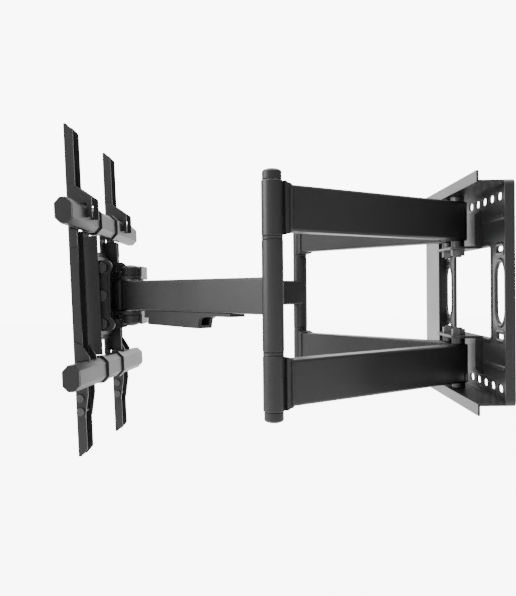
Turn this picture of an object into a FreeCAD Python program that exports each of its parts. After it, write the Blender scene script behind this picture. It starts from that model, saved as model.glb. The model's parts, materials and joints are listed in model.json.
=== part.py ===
import FreeCAD, Part
import math
import os
import Sketcher
from FreeCAD import Placement, Rotation, Vector

# Full motion wall mount for a television: a steel wall plate, two folding
# double-beam arms, two single-beam forearms, and a head that swivels, tilts and
# levels and carries two rails with two sliding brackets.
# Millimetres. X runs along the wall, Y points into the wall, Z is up. The origin
# is the centre of the wall plate's back face, which lies on the wall.

doc = FreeCAD.newDocument("tv_wall_mount")
sheet = doc.addObject("Spreadsheet::Sheet", "Dims")
rows = []
nodes = []
AXES = {"X": Vector(1, 0, 0), "Y": Vector(0, 1, 0), "Z": Vector(0, 0, 1)}


# ---------------------------------------------------------------- sizes

class Size:
    """A number that also knows its formula in the spreadsheet."""

    def __init__(self, value, text):
        self.value = float(value)
        self.text = text

    def _with(self, other, sign, value, flip=False):
        a, b = self.text, text_of(other)
        if flip:
            a, b = b, a
        return Size(value, f"({a} {sign} {b})")

    def __add__(self, other):
        return self._with(other, "+", self.value + value_of(other))

    def __radd__(self, other):
        return self._with(other, "+", self.value + value_of(other), True)

    def __sub__(self, other):
        return self._with(other, "-", self.value - value_of(other))

    def __rsub__(self, other):
        return self._with(other, "-", value_of(other) - self.value, True)

    def __mul__(self, other):
        return self._with(other, "*", self.value * value_of(other))

    def __rmul__(self, other):
        return self._with(other, "*", self.value * value_of(other), True)

    def __truediv__(self, other):
        return self._with(other, "/", self.value / value_of(other))

    def __rtruediv__(self, other):
        return self._with(other, "/", value_of(other) / self.value, True)

    def __neg__(self):
        return Size(-self.value, f"(0 - {self.text})")


def value_of(number):
    return number.value if isinstance(number, Size) else float(number)


def text_of(number):
    return number.text if isinstance(number, Size) else f"({float(number)!r})"


def sin(angle):
    return Size(math.sin(math.radians(value_of(angle))), f"sin({text_of(angle)})")


def cos(angle):
    return Size(math.cos(math.radians(value_of(angle))), f"cos({text_of(angle)})")


def size(alias, value, note):
    """One driving dimension: a row of the spreadsheet with its alias."""
    row = len(rows) + 1
    rows.append(alias)
    sheet.set(f"A{row}", alias)
    sheet.set(f"B{row}", str(value))
    sheet.set(f"C{row}", note)
    sheet.setAlias(f"B{row}", alias)
    return Size(value, f"Dims.{alias}")


# Wall plate
plate_w = size("plate_w", 360, "wall plate along the wall")
plate_tall = size("plate_tall", 256, "wall plate between its flanges' outer faces")
plate_t = size("plate_t", 2.5, "sheet of the wall plate")
flange_d = size("flange_d", 41, "depth of the top and bottom flanges")
side_d = size("side_d", 11.5, "depth of the side flanges")
lip_tall = size("lip_tall", 11, "turned-out lips on the top and bottom flanges")
corner_r = size("corner_r", 7, "rounded corners of the side flanges")
slot_pitch = size("slot_pitch", 32, "pitch of the fastening slots")
slot_rows = size("slot_rows", 228, "distance between the two rows of slots")
slot_w = size("slot_w", 9, "width of a fastening slot")
slot_len = size("slot_len", 19, "length of a fastening slot")
window_w = size("window_w", 184, "central opening along the wall")
window_tall = size("window_tall", 112, "height of the central opening")
side_window_x = size("side_window_x", 131, "centre of a side opening")
side_window_w = size("side_window_w", 34, "width of a side opening")
side_window_tall = size("side_window_tall", 72, "height of a side opening")
small_slot_z = size("small_slot_z", 52, "small slots above and below a side opening")
small_slot_len = size("small_slot_len", 26, "length of a small slot")
small_slot_w = size("small_slot_w", 6, "width of a small slot")
rib_gap = size("rib_gap", 178, "distance between the pressed ribs")
rib_len = size("rib_len", 92, "length of a pressed rib")
rib_x = size("rib_x", 104, "pressed ribs, distance from the middle")
rib_r = size("rib_r", 3.2, "radius of a pressed rib")
cover_len = size("cover_len", 96, "end cover along the wall")
cover_tall = size("cover_tall", 200, "height of the end cover")
cover_t = size("cover_t", 1.5, "wall of the end cover")

# Wall hinge
pin_gap = size("pin_gap", 52, "distance between the two hinge pins of a pair")
pin_y = size("pin_y", 27, "hinge pins, distance from the wall")
bracket_w = size("bracket_w", 104, "hinge bracket along the wall")
bracket_t = size("bracket_t", 3, "sheet of the hinge brackets")
cheek_d = size("cheek_d", 8.5, "depth of the hinge brackets' cheeks")
pin_r = size("pin_r", 5, "radius of the hinge pins")
bush_r = size("bush_r", 7.5, "outer radius of the bushes")
fit_gap = size("fit_gap", 0.05, "radial gap between a pin and its bush")
nut_flats = size("nut_flats", 16, "hinge pin nut across its flats")
nut_tall = size("nut_tall", 8, "height of the hinge pin nuts")
pin_head_r = size("pin_head_r", 9, "radius of a hinge pin's head")
pin_head_tall = size("pin_head_tall", 4, "height of a hinge pin's head")
spacer_r = size("spacer_r", 8.5, "outer radius of the hinge pin spacers")

# Arms and forearms
link_len = size("link_len", 320, "arm and forearm, pivot to pivot")
right_open = size("right_open", 40, "right arm, angle out from square to the wall")
left_open = size("left_open", 52.6, "left arm, angle out from square to the wall")
beam_tall = size("beam_tall", 50, "height of an arm beam")
beam_w = size("beam_w", 24, "width of the arm and forearm beams")
beam_wall = size("beam_wall", 2, "wall of the beams")
beam_r = size("beam_r", 3, "corner radius of the beams")
beam_top = size("beam_top", 118, "top of the upper arm beam")
fore_tall = size("fore_tall", 40, "height of a forearm beam")
post_r = size("post_r", 11.5, "radius of the elbow posts")
boss_top = size("boss_top", 122.5, "outer end of an elbow boss")
boss_in = size("boss_in", 63.5, "inner end of an elbow boss")
ring_t = size("ring_t", 4, "thickness of an elbow ring")
shaft_r = size("shaft_r", 6, "radius of the elbow shafts")
cap_r = size("cap_r", 10.5, "radius of an elbow cap")
cap_skirt = size("cap_skirt", 6.5, "straight part of an elbow cap")
dome_tall = size("dome_tall", 6, "height of an elbow cap's dome")
shoulder = size("shoulder", 5, "weld shoulder between a boss and its beam")
clip_len = size("clip_len", 70, "cable clip under the right forearm")

# Head
ear_z = size("ear_z", 22, "inner face of the yoke's ears")
ear_t = size("ear_t", 4, "thickness of the yoke's ears")
flange_tall = size("flange_tall", 14, "height of the ears' flanges")
ear_r = size("ear_r", 15.4, "radius of the yoke's ears round the pins")
knuckle_r = size("knuckle_r", 12, "radius of the forearms' head ends")
head_bolt_r = size("head_bolt_r", 12, "radius of the domed head pin caps")
head_bolt_tall = size("head_bolt_tall", 16, "height of the domed head pin caps")
swivel_y = size("swivel_y", 19, "swivel bolt, distance in front of the head pins")
barrel_r = size("barrel_r", 10, "radius of the swivel barrel")
turn_rest = size("turn_rest", -2.4, "swivel angle at rest")
tilt_rest = size("tilt_rest", 2.3, "tilt angle at rest")
level_rest = size("level_rest", -1.1, "levelling angle at rest")
tilt_y = size("tilt_y", 33, "tilt axis, distance in front of the head pins")
cheek_x = size("cheek_x", 40, "inner face of the swivel block's cheeks")
cheek_t = size("cheek_t", 3, "thickness of the cheeks")
level_bolt_z = size("level_bolt_z", 42, "levelling bolts, distance from the centre")
tilt_bolt_z = size("tilt_bolt_z", 38, "tilt clamp bolts, distance from the tilt axis")
tilt_plate_y = size("tilt_plate_y", 44.6, "back of the tilt plate, from the head pins")
plate_gap = size("plate_gap", 0.3, "gap between faces that turn on each other")
head_t = size("head_t", 3, "plates of the head")
bolt_r = size("bolt_r", 4, "radius of the head's bolts")
nut_wide = size("nut_wide", 13, "the head's nuts across their flats")

# Rails and brackets
upright_d = size("upright_d", 17, "depth of an upright's outer flange")
level_w = size("level_w", 88, "width of the level plate")
rail_len = size("rail_len", 364, "length of a rail")
rail_tall = size("rail_tall", 32, "height of a rail")
rail_d = size("rail_d", 21, "depth of a rail")
rail_wall = size("rail_wall", 2, "wall of a rail")
rail_cut = size("rail_cut", 7, "flats on the rails' corners")
rail_gap = size("rail_gap", 200, "distance between the rails' centre lines")
cap_t = size("cap_t", 5, "thickness of the rails' end caps")
upright_x = size("upright_x", 45.5, "uprights, distance from the centre")
upright_w = size("upright_w", 26, "width of an upright")
hole_span = size("hole_span", 200, "screw hole columns on the brackets, apart")
hole_r = size("hole_r", 3.3, "radius of the brackets' screw holes")
lock_r = size("lock_r", 3, "radius of the locking screws")
track_len = size("track_len", 425, "length of a screen bracket")
track_w = size("track_w", 30, "width of a screen bracket")
track_d = size("track_d", 11.5, "depth of a screen bracket")
track_t = size("track_t", 2.3, "sheet of the screen brackets")
track_up = size("track_up", 7.5, "screen brackets' centre above the head's centre")
hook_gap = size("hook_gap", 0.4, "gap between a hook and its rail")
hook_t = size("hook_t", 3, "sheet of the hooks")


# ---------------------------------------------------------------- building blocks

def bind(thing, prop, number):
    thing.setExpression(prop, text_of(number))


def new(kind, name):
    return doc.addObject(kind, name)


def move(thing, at):
    for axis, number in zip("xyz", at):
        bind(thing, f"Placement.Base.{axis}", number)


TURNS = {
    "x": Rotation(Vector(0, 1, 0), 90),
    "y": Rotation(Vector(1, 0, 0), -90),
    "z": Rotation(),
}


def rod(name, radius, length, at, along="z"):
    thing = new("Part::Cylinder", name)
    bind(thing, "Radius", radius)
    bind(thing, "Height", length)
    thing.Placement = Placement(Vector(), TURNS[along])
    move(thing, at)
    return thing


def hexagon(name, flats, length, at, along="z"):
    """A nut or bolt head: a hexagon prism, flats is its width across flats."""
    thing = new("Part::Prism", name)
    thing.Polygon = 6
    bind(thing, "Circumradius", flats / (2 * cos(30)))
    bind(thing, "Height", length)
    thing.Placement = Placement(Vector(), TURNS[along])
    move(thing, at)
    return thing


def fuse(name, parts):
    thing = new("Part::MultiFuse", name)
    thing.Shapes = parts
    thing.Refine = True
    return thing


def cut(name, base, tools):
    thing = new("Part::Cut", name)
    thing.Base = base
    thing.Tool = tools[0] if len(tools) == 1 else fuse(name + "_tools", tools)
    thing.Refine = True
    return thing


def common(name, base, tool):
    thing = new("Part::Common", name)
    thing.Base = base
    thing.Tool = tool
    return thing


def group(name, parts):
    thing = new("Part::Compound", name)
    thing.Links = parts
    return thing


def body(name):
    return new("PartDesign::Body", name)


def sketch(owner, role, offset=0):
    """A sketch on one of a body's own origin planes, moved along its normal."""
    made = owner.newObject("Sketcher::SketchObject", owner.Name + "_sketch")
    plane = [f for f in owner.Origin.OriginFeatures if f.Role == role][0]
    made.AttachmentSupport = (plane, [""])
    made.MapMode = "FlatFace"
    bind(made, "AttachmentOffset.Base.z", offset)
    return made


def hold(made, rules):
    """Adds constraints in one go; rules are (constraint, its size or None) pairs."""
    first = made.ConstraintCount
    made.addConstraint([rule for rule, number in rules])
    for i, (rule, number) in enumerate(rules):
        if isinstance(number, Size):
            made.setExpression(f"Constraints[{first + i}]", number.text)


def at_point(geometry, point, u, v):
    return [(Sketcher.Constraint("DistanceX", -1, 1, geometry, point, value_of(u)), u),
            (Sketcher.Constraint("DistanceY", -1, 1, geometry, point, value_of(v)), v)]


def draw_polygon(made, points):
    first = made.GeometryCount
    flat = [Vector(value_of(u), value_of(v), 0) for u, v in points]
    count = len(points)
    rules = []
    for i, (u, v) in enumerate(points):
        following = (i + 1) % count
        made.addGeometry(Part.LineSegment(flat[i], flat[following]), False)
        rules.append((Sketcher.Constraint("Coincident", first + i, 2, first + following, 1), None))
        rules += at_point(first + i, 1, u, v)
    hold(made, rules)


def draw_circle(made, u, v, radius):
    index = made.addGeometry(
        Part.Circle(Vector(value_of(u), value_of(v), 0), Vector(0, 0, 1), value_of(radius)), False)
    hold(made, [(Sketcher.Constraint("Radius", index, value_of(radius)), radius)]
         + at_point(index, 3, u, v))


def draw_hull(made, circles):
    """The outline round circles given anticlockwise: arcs joined by tangent lines."""
    first = made.GeometryCount
    count = len(circles)
    flat = [(value_of(u), value_of(v), value_of(r)) for u, v, r in circles]
    angles = []
    for i, (u, v, r) in enumerate(flat):
        u2, v2, r2 = flat[(i + 1) % count]
        lean = math.acos((r - r2) / math.hypot(u2 - u, v2 - v))
        angles.append(math.atan2(v2 - v, u2 - u) - lean)
    ends = []
    for i, (u, v, r) in enumerate(flat):
        start, end = angles[i - 1], angles[i]
        while end < start:
            end += 2 * math.pi
        made.addGeometry(
            Part.ArcOfCircle(Part.Circle(Vector(u, v, 0), Vector(0, 0, 1), r), start, end), False)
        ends.append((Vector(u + r * math.cos(start), v + r * math.sin(start), 0),
                     Vector(u + r * math.cos(end), v + r * math.sin(end), 0)))
    for i in range(count):
        made.addGeometry(Part.LineSegment(ends[i][1], ends[(i + 1) % count][0]), False)
    rules = []
    for i, (u, v, r) in enumerate(circles):
        line = first + count + i
        following = first + (i + 1) % count
        rules.append((Sketcher.Constraint("Tangent", first + i, 2, line, 1), None))
        rules.append((Sketcher.Constraint("Tangent", line, 2, following, 1), None))
        rules.append((Sketcher.Constraint("Radius", first + i, value_of(r)), r))
        rules += at_point(first + i, 3, u, v)
    hold(made, rules)


def draw_slot(made, u, v, length, width, upright=False):
    """A slot with round ends; length is over all."""
    reach = (length - width) / 2
    if upright:
        circles = [(u, v - reach, width / 2), (u, v + reach, width / 2)]
    else:
        circles = [(u - reach, v, width / 2), (u + reach, v, width / 2)]
    draw_hull(made, circles)


def draw_rounded(made, u, v, wide, tall, radius):
    """A rectangle with round corners, centred on u, v."""
    du = wide / 2 - radius
    dv = tall / 2 - radius
    draw_hull(made, [(u - du, v - dv, radius), (u + du, v - dv, radius),
                     (u + du, v + dv, radius), (u - du, v + dv, radius)])


def pad(owner, made, length, both=False, backwards=False):
    feature = owner.newObject("PartDesign::Pad", owner.Name + "_pad")
    feature.Profile = made
    bind(feature, "Length", length)
    feature.Midplane = both
    feature.Reversed = backwards
    owner.Tip = feature
    made.Visibility = False
    return feature


def pocket(owner, made, length, backwards=False, both=False):
    feature = owner.newObject("PartDesign::Pocket", owner.Name + "_pocket")
    feature.Profile = made
    bind(feature, "Length", length)
    feature.Midplane = both
    feature.Reversed = backwards
    owner.Tip = feature
    return feature


def turned(name, points):
    """A round piece on the Z axis, from a half section of (radius, height) points."""
    owner = body(name)
    made = sketch(owner, "XZ_Plane")
    draw_polygon(made, points)
    feature = owner.newObject("PartDesign::Revolution", name + "_turn")
    feature.Profile = made
    feature.ReferenceAxis = (made, ["V_Axis"])
    feature.Angle = 360
    owner.Tip = feature
    return owner


def tube_profile(name, inner, outer, low, high, edge=0.6):
    """Half section of a turned tube with broken outer edges."""
    return turned(name, [(inner, low), (outer - edge, low), (outer, low + edge),
                         (outer, high - edge), (outer - edge, high), (inner, high)])


def spot(x, y, z, turn=0, axis="Z"):
    """Placement formula: turn about an axis, then move."""
    unit = AXES[axis]
    direction = f"vector({unit.x}; {unit.y}; {unit.z})"
    place = f"vector({text_of(x)}; {text_of(y)}; {text_of(z)})"
    return f"placement({place}; rotation({direction}; {text_of(turn)}))"


def node(label, thing, where=None):
    """Names a finished piece and binds its place."""
    thing.Label = label
    if where:
        thing.setExpression("Placement", where)
    nodes.append(thing)


# ---------------------------------------------------------------- wall plate

def wall_plate():
    owner = body("wall_plate")
    face = sketch(owner, "XZ_Plane")
    draw_rounded(face, 0, 0, plate_w, plate_tall, corner_r)
    pad(owner, face, side_d)
    # hollow the shallow tray, then cut the mouth between the side flanges
    inside = sketch(owner, "XZ_Plane", plate_t)
    draw_rounded(inside, 0, 0, plate_w - 2 * plate_t, plate_tall - 2 * plate_t, corner_r - plate_t)
    pocket(owner, inside, side_d, backwards=True)
    for side in (1, -1):
        # top and bottom flanges with their turned-out lips
        edge = sketch(owner, "YZ_Plane")
        high = side * plate_tall / 2
        under = side * (plate_tall / 2 - plate_t)
        out = side * (plate_tall / 2 + lip_tall)
        draw_polygon(edge, [(-plate_t, high), (-plate_t, under), (-flange_d, under), (-flange_d, out),
                            (plate_t - flange_d, out), (plate_t - flange_d, high)][::side])
        pad(owner, edge, plate_w - 2 * corner_r, both=True)
    # pressed ribs that stiffen the face, beside the hinge brackets
    for end in (1, -1):
        rib = sketch(owner, "YZ_Plane", end * rib_x)
        for side in (1, -1):
            draw_circle(rib, -plate_t / 2, side * rib_gap / 2, rib_r)
        pad(owner, rib, rib_len, both=True)
    behind = sketch(owner, "XZ_Plane")
    draw_polygon(behind, [(-plate_w / 2, -plate_tall / 2), (plate_w / 2, -plate_tall / 2),
                          (plate_w / 2, plate_tall / 2), (-plate_w / 2, plate_tall / 2)])
    pocket(owner, behind, rib_r)
    holes = sketch(owner, "XZ_Plane")
    for row in (1, -1):
        for i in range(-4, 5):
            draw_slot(holes, i * slot_pitch, row * slot_rows / 2, slot_len, slot_w)
    draw_rounded(holes, 0, 0, window_w, window_tall, 5)
    for side in (1, -1):
        draw_slot(holes, side * side_window_x, 0, side_window_tall, side_window_w, upright=True)
        for row in (1, -1):
            draw_slot(holes, side * side_window_x, row * small_slot_z, small_slot_len, small_slot_w)
    pocket(owner, holes, 3 * plate_t, both=True)
    for side in (1, -1):
        # hinge pin holes through the top and bottom flanges
        bores = sketch(owner, "XY_Plane", side * (plate_tall / 2 - plate_t / 2))
        for end in (1, -1):
            draw_circle(bores, end * pin_gap / 2, -pin_y, pin_r + fit_gap)
        pocket(owner, bores, 3 * plate_t, both=True)
    node("wall_plate", owner)


def hinge_bracket(label, side):
    """A folded bracket on the plate's face: back, two cheeks and a tab for the pins."""
    owner = body(label)
    low = window_tall / 2
    high = slot_rows / 2 - slot_w
    back = sketch(owner, "XZ_Plane", plate_t)
    draw_polygon(back, [(-bracket_w / 2, side * low), (bracket_w / 2, side * low),
                        (bracket_w / 2, side * high), (-bracket_w / 2, side * high)])
    pad(owner, back, bracket_t)
    for end in (1, -1):
        cheek = sketch(owner, "YZ_Plane", end * (bracket_w / 2 - bracket_t / 2))
        draw_polygon(cheek, [(-plate_t, side * low), (-plate_t - cheek_d, side * low),
                             (-plate_t - cheek_d, side * (high - 6)), (-plate_t, side * high)])
        pad(owner, cheek, bracket_t, both=True)
    tab = sketch(owner, "XY_Plane", side * low)
    round_r = 12
    front = round_r - pin_y - pin_r - 8
    draw_hull(tab, [(round_r - bracket_w / 2, front, round_r), (bracket_w / 2 - round_r, front, round_r),
                    (bracket_w / 2 - 1, -plate_t - 1, 1), (1 - bracket_w / 2, -plate_t - 1, 1)])
    pad(owner, tab, bracket_t, backwards=side < 0)
    bores = sketch(owner, "XY_Plane", side * low)
    for end in (1, -1):
        draw_circle(bores, end * pin_gap / 2, -pin_y, pin_r + fit_gap)
    pocket(owner, bores, 4 * bracket_t, both=True)
    node(label, owner)


def end_cover():
    """A shallow plastic cap over the left end of the plate."""
    owner = body("end_cover_left")
    edge_x = side_window_x + side_window_w / 2 + 2
    deep = side_d + 2
    middle = -edge_x - cover_len / 2
    outline = sketch(owner, "XZ_Plane")
    draw_rounded(outline, middle, 0, cover_len, cover_tall, 8)
    pad(owner, outline, deep)
    inside = sketch(owner, "XZ_Plane", 0)
    draw_rounded(inside, middle, 0, cover_len - 2 * cover_t, cover_tall - 2 * cover_t, 8 - cover_t)
    pocket(owner, inside, deep - cover_t, backwards=True)
    on_plate = sketch(owner, "XZ_Plane", 0)
    draw_polygon(on_plate, [(-plate_w / 2 - 0.3, -cover_tall), (0, -cover_tall),
                            (0, cover_tall), (-plate_w / 2 - 0.3, cover_tall)])
    pocket(owner, on_plate, plate_t, backwards=True)
    # the rim's top and bottom are notched where the side flange passes through them
    notch = sketch(owner, "XZ_Plane", 0)
    draw_polygon(notch, [(-plate_w / 2 - 0.3, -cover_tall), (-plate_w / 2 + plate_t + 0.3, -cover_tall),
                         (-plate_w / 2 + plate_t + 0.3, cover_tall), (-plate_w / 2 - 0.3, cover_tall)])
    pocket(owner, notch, side_d + 0.2, backwards=True)
    node("end_cover_left", owner)


wall_plate()
hinge_bracket("hinge_bracket_upper", 1)
hinge_bracket("hinge_bracket_lower", -1)
end_cover()


# ---------------------------------------------------------------- wall pins

tab_z = window_tall / 2
pin_top = plate_tall / 2
pin_low = tab_z - nut_tall - 2
beam_low = beam_top - beam_tall


def four_pins(label, make):
    """The same piece at all four hinge pins, as one node of separate solids."""
    made = []
    for word, end in (("right", 1), ("left", -1)):
        for level, flip in (("upper", 0), ("lower", 180)):
            thing = make(f"{label}_{word}_{level}")
            thing.setExpression("Placement", spot(end * pin_gap / 2, -pin_y, 0, flip, "X"))
            made.append(thing)
    node(label, group(label, made))


def wall_pin(name):
    shank = rod(name + "_shank", pin_r, pin_top - pin_low, (0, 0, pin_low))
    high = pin_top + pin_head_tall
    edge = pin_head_tall / 2
    head = turned(name + "_head", [(0, pin_top), (pin_head_r, pin_top), (pin_head_r, high - edge),
                                   (pin_head_r - edge, high), (0, high)])
    return fuse(name, [shank, head])


def wall_nut(name):
    blank = hexagon(name + "_hex", nut_flats, nut_tall, (0, 0, tab_z - nut_tall))
    bore = rod(name + "_bore", pin_r, nut_tall, (0, 0, tab_z - nut_tall))
    return cut(name, blank, [bore])


def wall_spacers(name):
    lower = tube_profile(name + "_lower", pin_r + 0.2, spacer_r, tab_z + bracket_t + 0.05,
                         beam_low - 0.1)
    upper = tube_profile(name + "_upper", pin_r + 0.2, spacer_r, beam_top + 0.1,
                         plate_tall / 2 - plate_t - 0.05)
    return group(name, [lower, upper])


four_pins("wall_pins", wall_pin)
four_pins("wall_pin_nuts", wall_nut)
four_pins("wall_pin_spacers", wall_spacers)


# ---------------------------------------------------------------- arms and forearms

def beam(name, wide, tall, middle_z, start, end):
    """A rounded rectangular tube along X."""
    owner = body(name)
    section = sketch(owner, "YZ_Plane", start)
    draw_rounded(section, 0, middle_z, wide, tall, beam_r)
    draw_rounded(section, 0, middle_z, wide - 2 * beam_wall, tall - 2 * beam_wall,
                 beam_r - beam_wall)
    pad(owner, section, end - start)
    return owner


def arm_beam(name):
    tube = beam(name + "_tube", beam_w, beam_tall, beam_top - beam_tall / 2, 5,
                link_len - post_r - shoulder)
    cope = rod(name + "_cope", beam_w / 2, beam_tall, (0, 0, beam_low))
    return cut(name, tube, [cope])


def elbow_boss(name):
    """The turned boss with the weld block that carries the beam; its axis is Z."""
    owner = tube_profile(name, shaft_r + fit_gap, post_r, boss_in, boss_top, 0.8)
    block = sketch(owner, "XZ_Plane")
    inner = -post_r + 2.5
    outer = -post_r - shoulder
    draw_polygon(block, [(outer, beam_low - 0.5), (inner, boss_in + 1), (inner, boss_top - 1),
                         (outer, beam_top + 0.5)])
    pad(owner, block, beam_w, both=True)
    return owner


def domed(name, radius, low, skirt, dome):
    """A cylinder closed by a shallow dome."""
    ball_r = (radius * radius + dome * dome) / (2 * dome)
    ball = new("Part::Sphere", name + "_ball")
    bind(ball, "Radius", ball_r)
    move(ball, (0, 0, low + skirt + dome - ball_r))
    trunk = rod(name + "_trunk", radius, skirt + dome, (0, 0, low))
    return common(name + "_solid", trunk, ball)


def elbow_cap(name):
    solid = domed(name, cap_r, boss_top, cap_skirt, dome_tall)
    room = rod(name + "_room", cap_r - 1.5, cap_skirt, (0, 0, boss_top))
    return cut(name, solid, [room])


def elbow_ring(name):
    return tube_profile(name, shaft_r + 0.3, post_r - 0.3, boss_in - ring_t + 0.05,
                        boss_in - 0.05, 0.5)


def elbow_shaft(name):
    """A round bar held by a hexagon nut at each end, inside the caps."""
    half = boss_top + 5
    return fuse(name, [rod(name + "_bar", shaft_r, 2 * half, (0, 0, -half)),
                       hexagon(name + "_top", 14, 4.5, (0, 0, boss_top + 0.1)),
                       hexagon(name + "_low", 14, 4.5, (0, 0, -boss_top - 4.6))])


def cable_clip(name):
    """A plastic cable clip under the forearm: a stepped block with a thin tail."""
    owner = body(name)
    side = sketch(owner, "XZ_Plane")
    top = -fore_tall / 2
    start = link_len - 57
    draw_polygon(side, [(start, top), (start - 198, top), (start - 198, top - 4),
                        (start - 144, top - 4), (start - 133, top - 8), (start - 130, top - 19),
                        (start - 9, top - 17.5), (start - 9, top - 9), (start, top - 9)])
    pad(owner, side, beam_w - 4, both=True)
    channel = sketch(owner, "YZ_Plane", start - clip_len * 2)
    draw_rounded(channel, 0, top - 9.5, 11, 11, 2)
    pocket(owner, channel, clip_len * 3, backwards=True)
    return owner


def turn_of(angle, side):
    """A link's direction, measured from X: angle is how far it opens from -Y."""
    return side * angle - 90


open_angle = {"right": right_open, "left": left_open}
pivot_x = {"right": pin_gap / 2, "left": -pin_gap / 2}
sides = {"right": 1, "left": -1}


def elbow_at(word):
    reach = sides[word] * link_len
    return (pivot_x[word] + reach * sin(open_angle[word]),
            -pin_y - link_len * cos(open_angle[word]))


def two_ends(label, where, make):
    """A pair of equal pieces, one each side of the middle, as one node."""
    above = make(label + "_above")
    below = make(label + "_below")
    below.setExpression("Placement", spot(0, 0, 0, 180, "X"))
    node(label, group(label, [above, below]), where)


for word, other in (("right", "left"), ("left", "right")):
    arm_turn = turn_of(open_angle[word], sides[word])
    fore_turn = turn_of(open_angle[other], -sides[word])
    elbow_x, elbow_y = elbow_at(word)
    at_pin = spot(pivot_x[word], -pin_y, 0, arm_turn)
    at_elbow = spot(elbow_x, elbow_y, 0, arm_turn)
    fore_here = spot(elbow_x, elbow_y, 0, fore_turn)
    for level, flip in (("upper", 0), ("lower", 180)):
        turn_over = " * " + spot(0, 0, 0, flip, "X")
        name = f"arm_{word}_{level}"
        node(name + "_beam", arm_beam(name + "_beam"), at_pin + turn_over)
    two_ends(f"arm_{word}_bushes", at_pin,
             lambda name: tube_profile(name, pin_r + fit_gap, bush_r, beam_low, beam_top, 0.4))
    two_ends(f"arm_{word}_knuckles", at_pin,
             lambda name: tube_profile(name, bush_r, beam_w / 2, beam_low, beam_top, 1))
    two_ends(f"arm_{word}_bosses", at_elbow, elbow_boss)
    two_ends(f"arm_{word}_caps", at_elbow, elbow_cap)
    node(f"elbow_{word}_shaft", elbow_shaft(f"elbow_{word}_shaft"), at_elbow)
    sleeve_half = boss_in - ring_t
    node(f"forearm_{word}_sleeve",
         tube_profile(f"forearm_{word}_sleeve", shaft_r + 3, post_r, -sleeve_half, sleeve_half, 0.8),
         fore_here)
    two_ends(f"elbow_{word}_rings", fore_here, elbow_ring)
    name = f"forearm_{word}"
    tube = beam(name + "_tube", beam_w - 2, fore_tall, 0, 3, link_len - 5)
    cope = rod(name + "_cope", post_r, fore_tall, (0, 0, -fore_tall / 2))
    eye = rod(name + "_eye", knuckle_r, fore_tall, (link_len, 0, -fore_tall / 2))
    node(name + "_beam", cut(name + "_beam", tube, [cope, eye]), fore_here)
    node(name + "_knuckle",
         tube_profile(name + "_knuckle", bush_r, knuckle_r, -fore_tall / 2, fore_tall / 2, 1),
         f"{fore_here} * {spot(link_len, 0, 0)}")
    bushes = [tube_profile(f"{name}_bush_{level}", shaft_r + fit_gap, shaft_r + 3,
                           sleeve_half - 15, sleeve_half, 0.3) for level in ("upper", "lower")]
    bushes[1].setExpression("Placement", spot(0, 0, 0, 180, "X"))
    head_bush = tube_profile(name + "_head_bush", pin_r + fit_gap, bush_r, -fore_tall / 2,
                             fore_tall / 2, 0.4)
    head_bush.setExpression("Placement", spot(link_len, 0, 0))
    node(name + "_bushes", group(name + "_bushes", bushes + [head_bush]), fore_here)
    if word == "right":
        node("cable_clip", cable_clip("cable_clip"), fore_here)


# ---------------------------------------------------------------- yoke

right_elbow_x, right_elbow_y = elbow_at("right")
head_x = right_elbow_x - link_len * sin(left_open) - pin_gap / 2
head_y = right_elbow_y - link_len * cos(left_open)
at_head = spot(head_x, head_y, 0)
turn_over = " * " + spot(0, 0, 0, 180, "X")


def yoke_ear(name, side):
    """One ear of the yoke, with the stiffening flange on its wall side."""
    owner = body(name)
    outline = sketch(owner, "XY_Plane", side * ear_z)
    draw_hull(outline, [(0, -swivel_y, barrel_r + 2), (pin_gap / 2, 0, ear_r),
                        (-pin_gap / 2, 0, ear_r)])
    pad(owner, outline, ear_t, backwards=side < 0)
    flange = sketch(owner, "XY_Plane", side * ear_z)
    draw_polygon(flange, [(-pin_gap / 2, ear_r - head_t), (pin_gap / 2, ear_r - head_t),
                          (pin_gap / 2, ear_r), (-pin_gap / 2, ear_r)])
    pad(owner, flange, ear_t + flange_tall, backwards=side < 0)
    bores = sketch(owner, "XY_Plane", side * ear_z)
    draw_circle(bores, 0, -swivel_y, shaft_r)
    draw_circle(bores, pin_gap / 2, 0, pin_r)
    draw_circle(bores, -pin_gap / 2, 0, pin_r)
    pocket(owner, bores, 3 * ear_t, both=True)
    return owner


def head_pin(name, slack):
    """A headed pin with a domed cap at each end; slack thins it at the open pivot."""
    face = ear_z + ear_t
    shank = rod(name + "_shank", pin_r - slack, 2 * face, (0, 0, -face))
    top = domed(name + "_top", head_bolt_r, face, head_bolt_tall - 5, 5)
    bottom = domed(name + "_bottom", head_bolt_r, face, head_bolt_tall - 5, 5)
    bottom.setExpression("Placement", spot(0, 0, 0, 180, "X"))
    return fuse(name, [shank, top, bottom])


def head_washers(label):
    """The four washers between the forearms' ends and the ears."""
    made = []
    for word, x in pivot_x.items():
        for level, flip in (("upper", 0), ("lower", 180)):
            washer = tube_profile(f"{label}_{word}_{level}", pin_r + 0.1, 10, fore_tall / 2 + 0.05,
                                  ear_z - 0.05, 0.3)
            washer.setExpression("Placement", spot(x, 0, 0, flip, "X"))
            made.append(washer)
    node(label, group(label, made), at_head)


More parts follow.
